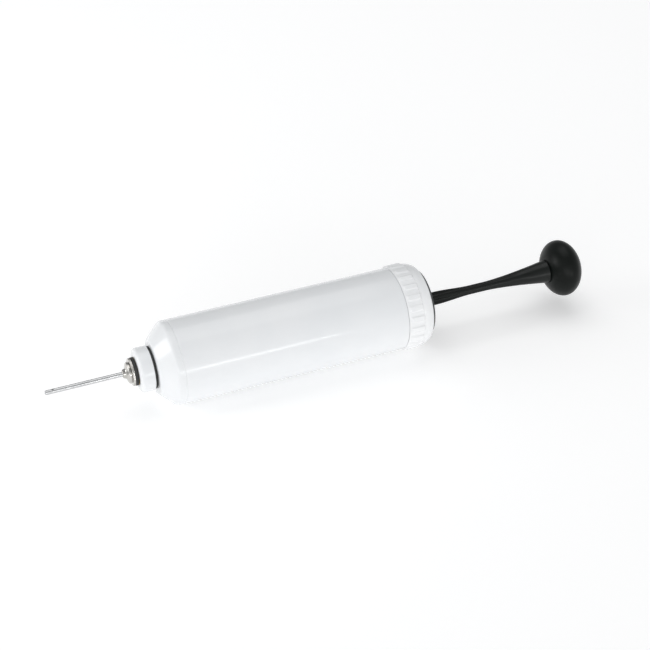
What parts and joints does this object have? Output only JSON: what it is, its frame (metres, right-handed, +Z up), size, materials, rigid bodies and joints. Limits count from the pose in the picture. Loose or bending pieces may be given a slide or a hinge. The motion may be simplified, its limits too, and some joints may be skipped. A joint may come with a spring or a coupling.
{
  "type": "ball inflation pump",
  "caption": "Slim hand pump for balls: plain round barrel, screw-in needle at one end, ribbed screw cap and knob-ended plunger at the other.",
  "frame": {"origin": "on the surface that the pump lies on, under the middle of its length", "axes": "+X along the pump's axis from the needle to the knob, +Z up; the axis is 13.1 mm above the surface"},
  "size_m": [0.1694, 0.0262, 0.0262],
  "materials": {
    "white_plastic": "glossy moulded white plastic",
    "nozzle_plastic": "glossy moulded white plastic",
    "cap_plastic": "glossy moulded white plastic, ribbed for grip",
    "seal_rubber": "smooth black rubber",
    "insert_brass": "turned brass",
    "cage_plastic": "natural moulded plastic",
    "seat_plastic": "natural moulded plastic",
    "spring_steel": "bright drawn wire",
    "valve_rubber": "moulded black rubber",
    "washer_rubber": "flat black rubber",
    "nickel_plate": "nickel plated brass",
    "needle_steel": "drawn steel tube, polished",
    "liner_rubber": "flat black rubber",
    "bush_plastic": "dark grey moulded plastic",
    "bumper_rubber": "soft black rubber",
    "cup_rubber": "greased black rubber",
    "piston_plastic": "natural moulded plastic",
    "zinc_steel": "zinc plated steel",
    "screw_steel": "zinc plated steel",
    "rod_plastic": "black moulded plastic, satin",
    "knob_plastic": "black moulded plastic, satin"
  },
  "bodies": {
    "pump_body": {"barrel": "white_plastic", "nozzle": "nozzle_plastic", "nozzle_seal_ring": "seal_rubber", "needle_insert": "insert_brass", "valve_cage": "cage_plastic", "valve_seat": "seat_plastic", "valve_spring": "spring_steel"},
    "valve": {"valve_poppet": "valve_rubber"},
    "needle_seal": {"needle_washer": "washer_rubber"},
    "needle": {"needle_hub": "nickel_plate", "needle_tube": "needle_steel"},
    "cap_seal": {"cap_liner": "liner_rubber"},
    "cap": {"rear_cap": "cap_plastic", "rod_guide_bush": "bush_plastic", "stop_bumper": "bumper_rubber"},
    "piston_seal": {"piston_cup": "cup_rubber"},
    "plunger": {"plunger_rod": "rod_plastic", "piston_disc": "piston_plastic", "clamp_washer": "zinc_steel", "piston_screw": "screw_steel", "knob": "knob_plastic"}
  },
  "joints": [
    {"name": "plunger_slide", "type": "slide", "parent": "pump_body", "child": "piston_seal", "axis": [1, 0, 0], "range_m": [-0.0265, 0.0352]},
    {"name": "plunger_spin", "type": "hinge", "parent": "piston_seal", "child": "plunger", "pos_m": [-0.01945, 0, 0.0131], "axis": [1, 0, 0], "continuous": true},
    {"name": "needle_advance", "type": "slide", "parent": "pump_body", "child": "needle_seal", "axis": [-1, 0, 0], "range_m": [0, 0.00397]},
    {"name": "needle_unscrew", "type": "hinge", "parent": "needle_seal", "child": "needle", "pos_m": [-0.05925, 0, 0.0131], "axis": [-1, 0, 0], "range_deg": [0, 1801]},
    {"name": "cap_advance", "type": "slide", "parent": "pump_body", "child": "cap_seal", "axis": [1, 0, 0], "range_m": [0, 0.005]},
    {"name": "cap_unscrew", "type": "hinge", "parent": "cap_seal", "child": "cap", "pos_m": [0.02225, 0, 0.0131], "axis": [1, 0, 0], "range_deg": [0, 901]},
    {"name": "valve_lift", "type": "slide", "parent": "pump_body", "child": "valve", "axis": [-1, 0, 0], "range_m": [0, 0.0009], "stiffness_N_per_m": 60, "springref_m": -0.003, "deforming": ["valve_spring"]}
  ],
  "couplings": [
    {"joint": "needle_unscrew", "follows": "needle_advance", "rad_per_m": 7913.3},
    {"joint": "cap_unscrew", "follows": "cap_advance", "rad_per_m": 3141.6}
  ]
}
